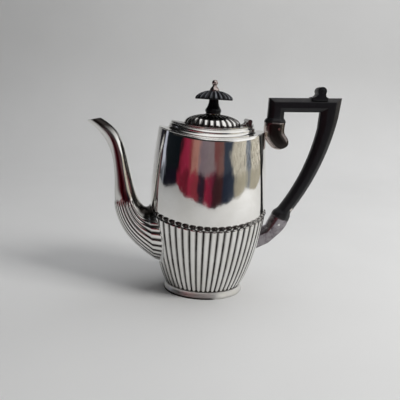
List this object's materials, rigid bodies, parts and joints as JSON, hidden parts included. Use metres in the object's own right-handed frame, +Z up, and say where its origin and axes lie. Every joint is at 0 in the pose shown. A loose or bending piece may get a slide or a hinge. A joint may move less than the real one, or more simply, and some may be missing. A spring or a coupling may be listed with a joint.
{
  "type": "coffee pot",
  "caption": "Oval half-fluted silver coffee pot with beaded border, fluted swan-neck spout, hinged domed lid and ebonised wood handle and finial.",
  "frame": {"origin": "middle of the oval foot, on the table it stands on", "axes": "+X from the spout towards the handle, +Y across the pot, +Z up"},
  "size_m": [0.2313, 0.0878, 0.2],
  "materials": {
    "silver": "polished silver plate, lightly worn",
    "ebonised_wood": "black stained, satin",
    "brass": "plain turned, inside the lid"
  },
  "bodies": {
    "pot": {"foot_ring": "silver", "base_plate": "silver", "fluted_bowl": "silver", "beaded_border": "silver", "body_wall": "silver", "shoulder": "silver", "mouth_collar": "silver", "hinge_bracket": "silver", "hinge_pin": "silver", "spout": "silver", "upper_socket": "silver", "lower_socket": "silver", "handle": "ebonised_wood", "upper_handle_pin": "silver", "lower_handle_pin": "silver"},
    "lid": {"lid_flange": "silver", "lid_dome": "silver", "lid_bezel": "silver", "lid_hinge_leaf": "silver", "finial_seat": "silver", "finial_stem": "ebonised_wood", "finial_cap": "ebonised_wood", "finial_nut": "silver", "finial_rod": "brass", "finial_washer": "brass", "finial_locknut": "brass"}
  },
  "joints": [
    {"name": "lid_hinge", "type": "hinge", "parent": "pot", "child": "lid", "pos_m": [0.0328, 0, 0.1649], "axis": [0, 1, 0], "range_deg": [0, 75]}
  ]
}
